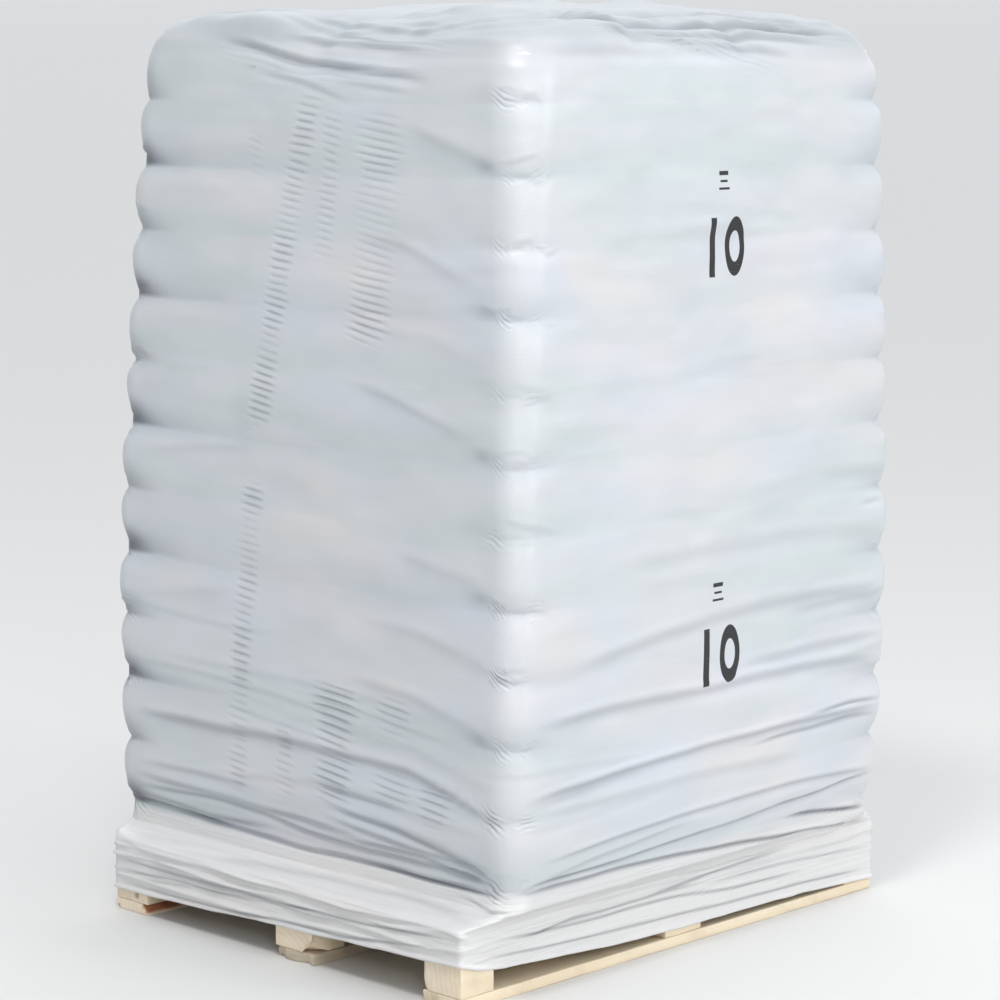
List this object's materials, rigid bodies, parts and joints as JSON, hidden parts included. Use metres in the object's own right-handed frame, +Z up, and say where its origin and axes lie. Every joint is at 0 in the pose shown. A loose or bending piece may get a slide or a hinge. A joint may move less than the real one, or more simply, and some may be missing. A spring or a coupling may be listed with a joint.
{
  "type": "wrapped pallet of sacks",
  "caption": "Wooden block pallet stacked with layers of filled sacks under one stretched film hood, ready for a forklift.",
  "frame": {"origin": "middle of the bounding box on the floor, under the pallet", "axes": "+Z up, X along the pallet's long side, Y along its short side; the end towards -X and the side towards -Y are the two seen in the picture"},
  "size_m": [1.2056, 1.155, 1.8184],
  "materials": {
    "wood": "sawn, unplaned",
    "sack": "satin polyethylene film",
    "film": "satin, slightly translucent stretched film"
  },
  "bodies": {
    "root": {"block_centre_back": "wood", "block_centre_front": "wood", "block_centre_middle": "wood", "block_left_back": "wood", "block_left_front": "wood", "block_left_middle": "wood", "block_right_back": "wood", "block_right_front": "wood", "block_right_middle": "wood", "bottom_board_back": "wood", "bottom_board_front": "wood", "bottom_board_middle": "wood", "cross_board_centre": "wood", "cross_board_left": "wood", "cross_board_right": "wood", "deck_board_1": "wood", "deck_board_2": "wood", "deck_board_3": "wood", "deck_board_4": "wood", "deck_board_5": "wood", "deck_board_6": "wood", "deck_board_7": "wood", "sack_layer_01": "sack", "sack_layer_02": "sack", "sack_layer_03": "sack", "sack_layer_04": "sack", "sack_layer_05": "sack", "sack_layer_06": "sack", "sack_layer_07": "sack", "sack_layer_08": "sack", "sack_layer_09": "sack", "sack_layer_10": "sack", "sack_layer_11": "sack", "sack_layer_12": "sack", "stretch_hood": "film"}
  },
  "joints": []
}
